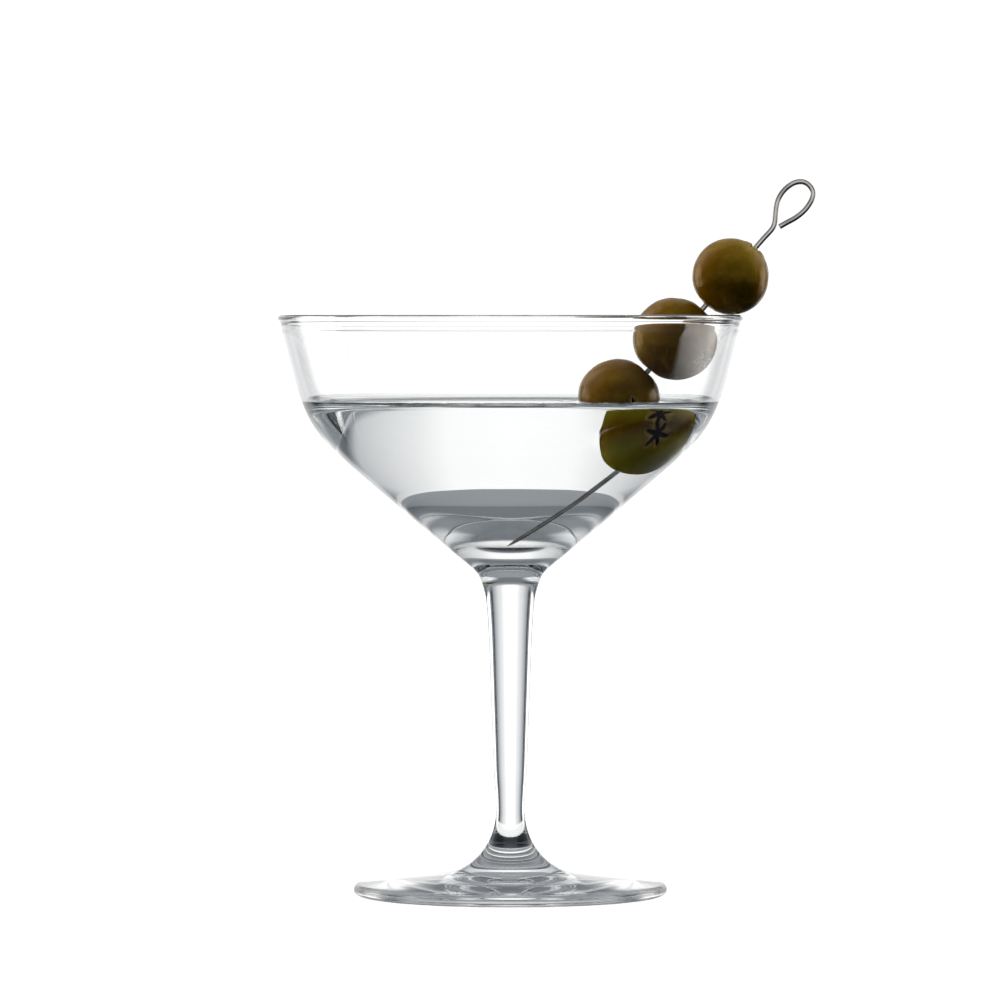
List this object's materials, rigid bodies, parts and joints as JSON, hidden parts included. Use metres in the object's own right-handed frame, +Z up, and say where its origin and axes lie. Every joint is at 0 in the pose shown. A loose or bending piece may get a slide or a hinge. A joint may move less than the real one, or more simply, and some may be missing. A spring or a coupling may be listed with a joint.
{
  "type": "martini glass",
  "caption": "Stemmed cocktail glass with a wide bowl of clear drink, and a wire pick of pitted olives leaning on its rim.",
  "frame": {"origin": "centre of the foot's underside, where the glass stands", "axes": "+Z up along the stem, +X towards the side that the pick leans to, +Y away from the side seen first"},
  "size_m": [0.1191, 0.103, 0.1587],
  "materials": {
    "clear_glass": "polished",
    "clear_drink": "clear liquid",
    "olive_flesh": "wet and glossy",
    "steel_wire": "drawn and polished"
  },
  "bodies": {
    "glass": {"bowl": "clear_glass", "stem": "clear_glass", "foot": "clear_glass", "drink": "clear_drink"},
    "pick": {"pick": "steel_wire"},
    "olive_lower": {"olive_lower": "olive_flesh"},
    "olive_middle": {"olive_middle": "olive_flesh"},
    "olive_upper": {"olive_upper": "olive_flesh"}
  },
  "joints": [
    {"name": "pick_lift", "type": "slide", "parent": "glass", "child": "pick", "axis": [0, 0, 1], "range_m": [0, 0.08], "deforming": ["drink"]},
    {"name": "olive_lower_turn", "type": "hinge", "parent": "pick", "child": "olive_lower", "pos_m": [0.02466, 0, 0.1092], "axis": [0.6534, 0, 0.757], "continuous": true},
    {"name": "olive_middle_turn", "type": "hinge", "parent": "pick", "child": "olive_middle", "pos_m": [0.03662, 0, 0.12305], "axis": [0.6534, 0, 0.757], "continuous": true},
    {"name": "olive_upper_turn", "type": "hinge", "parent": "pick", "child": "olive_upper", "pos_m": [0.04877, 0, 0.13713], "axis": [0.6534, 0, 0.757], "continuous": true}
  ]
}
